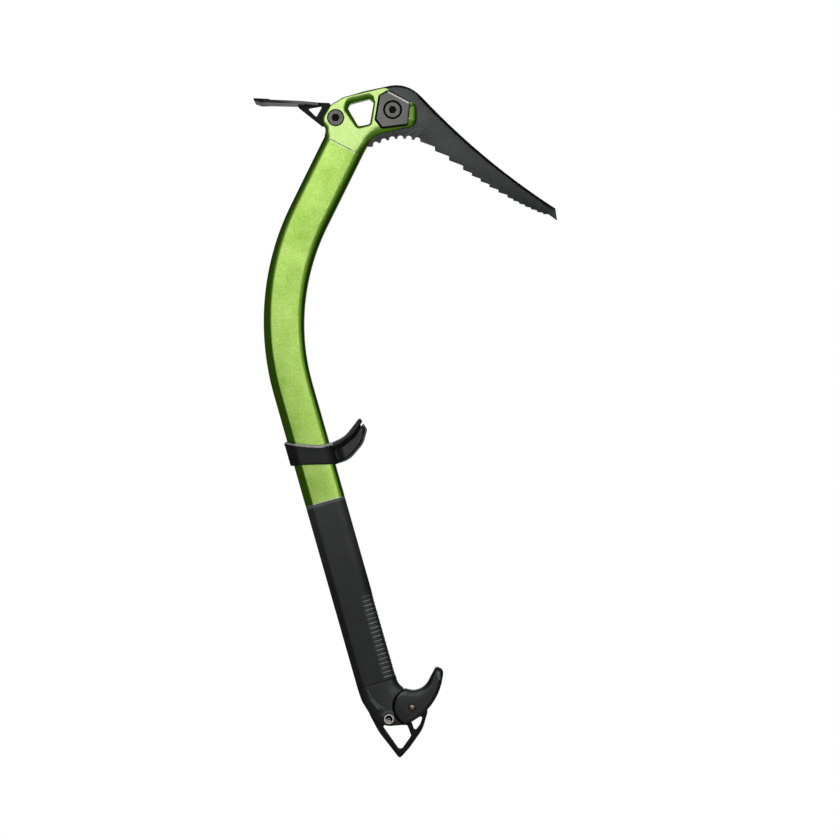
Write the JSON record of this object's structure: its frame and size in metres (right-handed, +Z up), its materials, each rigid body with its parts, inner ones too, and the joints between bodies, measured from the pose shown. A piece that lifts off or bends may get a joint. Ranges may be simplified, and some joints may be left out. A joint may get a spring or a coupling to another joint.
{
  "type": "ice climbing tool",
  "caption": "Technical ice climbing tool with a bent tube shaft, toothed pick, adze, ribbed grip, sliding finger trigger, spike and folding hand rest.",
  "frame": {"origin": "middle of the ribbed grip, on the centre line of the lower shaft", "axes": "+X the way the pick points, +Z up towards the head, Y across the tool; the grip leans 15.9 degrees from +Z"},
  "size_m": [0.2253, 0.039, 0.5009],
  "materials": {
    "green_aluminium": "satin, anodised",
    "pick_steel": "dark, fine ground",
    "black_steel": "satin black coat",
    "bare_steel": "satin",
    "black_rubber": "matte",
    "black_nylon": "fine grain, half matte",
    "brass": "satin"
  },
  "bodies": {
    "tool": {"shaft": "green_aluminium", "grip_sleeve": "black_rubber", "cap_pin": "bare_steel", "head": "green_aluminium", "pick": "pick_steel", "pick_plate_near": "bare_steel", "pick_plate_far": "bare_steel", "pick_bolt": "bare_steel", "pick_nut": "bare_steel", "adze": "black_steel", "adze_bolt": "bare_steel", "adze_nut": "bare_steel", "end_cap": "black_nylon", "spike": "black_steel", "spike_bushes": "bare_steel", "spike_bolt": "brass", "spike_nut": "brass"},
    "trigger": {"trigger_strap": "black_rubber", "trigger_horn": "black_nylon"},
    "hook": {"pommel_hook": "black_nylon", "hook_pin": "brass"}
  },
  "joints": [
    {"name": "trigger_slide", "type": "slide", "parent": "tool", "child": "trigger", "axis": [-0.274, 0, 0.9617], "range_m": [-0.022, 0.033]},
    {"name": "hook_fold", "type": "hinge", "parent": "tool", "child": "hook", "pos_m": [0.04555, 0, -0.08508], "axis": [0, -1, 0], "range_deg": [0, 42]}
  ]
}
